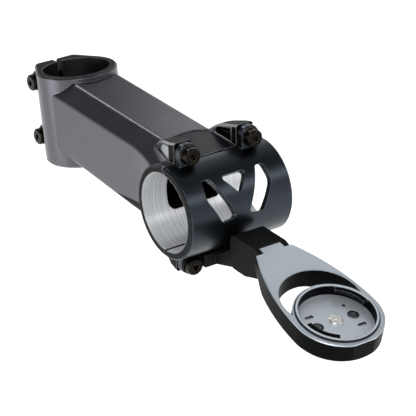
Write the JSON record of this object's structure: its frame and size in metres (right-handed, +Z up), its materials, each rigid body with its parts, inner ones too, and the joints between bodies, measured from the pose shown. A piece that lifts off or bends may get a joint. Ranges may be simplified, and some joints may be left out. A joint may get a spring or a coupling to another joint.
{
  "type": "bicycle stem",
  "caption": "Threadless bicycle stem with a hollow octagonal extension, a windowed bar faceplate and an out-front ring mount for a cycle computer.",
  "frame": {"origin": "middle of the steerer bore, on its axis at half its height", "axes": "+Z up the steerer, -Y forward along the stem, +X along the bar to the right seen from in front of it facing back, so X is the bar axis"},
  "size_m": [0.0466, 0.2121, 0.0734],
  "materials": {
    "graphite_anodised": "satin graphite anodised",
    "black_anodised": "satin black anodised",
    "black_steel": "black oxide",
    "bracket_black": "matt black anodised",
    "arm_two_tone": "bright machined top, black anodised sides",
    "small_screw_steel": "dark zinc",
    "insert_two_tone": "bright machined floor and rim, black anodised walls",
    "pale_steel": "bright"
  },
  "bodies": {
    "root": {"stem_body": "graphite_anodised", "faceplate": "black_anodised", "plate_bolt_upper_left": "black_steel", "plate_bolt_upper_right": "black_steel", "plate_bolt_lower_left": "black_steel", "plate_bolt_lower_right": "black_steel", "plate_washer_left": "black_steel", "plate_washer_right": "black_steel", "steerer_bolt_upper": "black_steel", "steerer_bolt_lower": "black_steel", "steerer_washer_upper": "black_steel", "steerer_washer_lower": "black_steel", "mount_bracket": "bracket_black", "mount_arm": "arm_two_tone", "arm_screw_left": "small_screw_steel", "arm_screw_right": "small_screw_steel", "quarter_turn_insert": "insert_two_tone", "insert_screw_left": "small_screw_steel", "insert_screw_right": "small_screw_steel", "insert_centre_screw": "pale_steel"}
  },
  "joints": []
}
